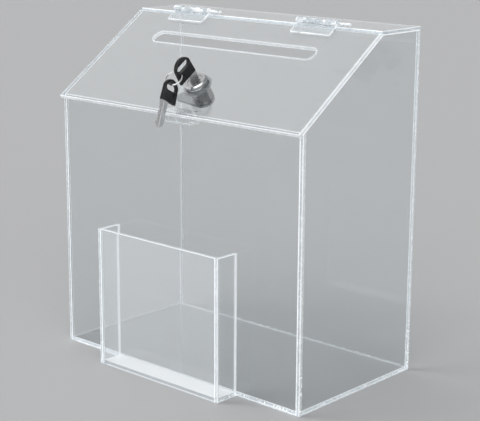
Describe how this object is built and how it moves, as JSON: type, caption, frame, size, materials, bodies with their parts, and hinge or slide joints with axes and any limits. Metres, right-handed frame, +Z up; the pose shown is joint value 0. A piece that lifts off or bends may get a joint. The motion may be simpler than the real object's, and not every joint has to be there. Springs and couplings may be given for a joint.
{
  "type": "ballot box",
  "caption": "Clear acrylic ballot box with a sloping hinged lid that has a voting slot and a cam lock, and an open leaflet pocket on its front.",
  "frame": {"origin": "centre of the underside of the box", "axes": "+Z up, +X to the right seen from the front, +Y towards the back"},
  "size_m": [0.25, 0.1585, 0.2758],
  "materials": {
    "clear_acrylic": "clear cast sheet, polished faces and edges",
    "opal_acrylic": "opal white sheet, glossy",
    "clear_hinge_plastic": "clear moulded plastic with a slightly milky surface",
    "nickel_plate": "bright nickel plate on die-cast zinc",
    "zinc_steel": "zinc-plated steel",
    "key_steel": "nickel-plated steel, lightly brushed",
    "black_plastic": "black moulded plastic, fine satin texture"
  },
  "bodies": {
    "box": {"base_panel": "clear_acrylic", "front_panel": "clear_acrylic", "back_panel": "clear_acrylic", "left_side_panel": "clear_acrylic", "right_side_panel": "clear_acrylic", "top_strip": "clear_acrylic", "pocket_front": "clear_acrylic", "pocket_left_side": "clear_acrylic", "pocket_right_side": "clear_acrylic", "pocket_base": "opal_acrylic", "lock_catch": "clear_acrylic", "left_hinge_fixed_leaf": "clear_hinge_plastic", "right_hinge_fixed_leaf": "clear_hinge_plastic", "left_hinge_pin": "clear_hinge_plastic", "right_hinge_pin": "clear_hinge_plastic"},
    "lid": {"lid_panel": "clear_acrylic", "left_hinge_lid_leaf": "clear_hinge_plastic", "right_hinge_lid_leaf": "clear_hinge_plastic", "lock_housing": "nickel_plate", "lock_washer": "zinc_steel", "lock_nut": "zinc_steel"},
    "lock_plug": {"lock_plug": "nickel_plate", "lock_cam": "zinc_steel", "cam_screw": "zinc_steel"},
    "key": {"key_blade": "key_steel", "key_head": "black_plastic"},
    "key_ring": {"key_ring": "key_steel"},
    "spare_key": {"spare_key_blade": "key_steel", "spare_key_head": "black_plastic"}
  },
  "joints": [
    {"name": "lid_hinge", "type": "hinge", "parent": "box", "child": "lid", "pos_m": [0, 0.019, 0.2735], "axis": [-1, 0, 0], "range_deg": [0, 200]},
    {"name": "lock_turn", "type": "hinge", "parent": "lid", "child": "lock_plug", "pos_m": [0, -0.04379, 0.22715], "axis": [0, -0.5678, 0.8231], "range_deg": [0, 90]},
    {"name": "key_slide", "type": "slide", "parent": "lock_plug", "child": "key", "axis": [0, -0.5678, 0.8231], "range_m": [0, 0.015]},
    {"name": "ring_swing", "type": "hinge", "parent": "key", "child": "key_ring", "pos_m": [0, -0.06276, 0.23739], "axis": [1, 0, 0], "range_deg": [-70, 0]},
    {"name": "spare_key_swing", "type": "hinge", "parent": "key_ring", "child": "spare_key", "pos_m": [0.00045, -0.07293, 0.22915], "axis": [1, 0, 0], "range_deg": [-45, 0]}
  ]
}
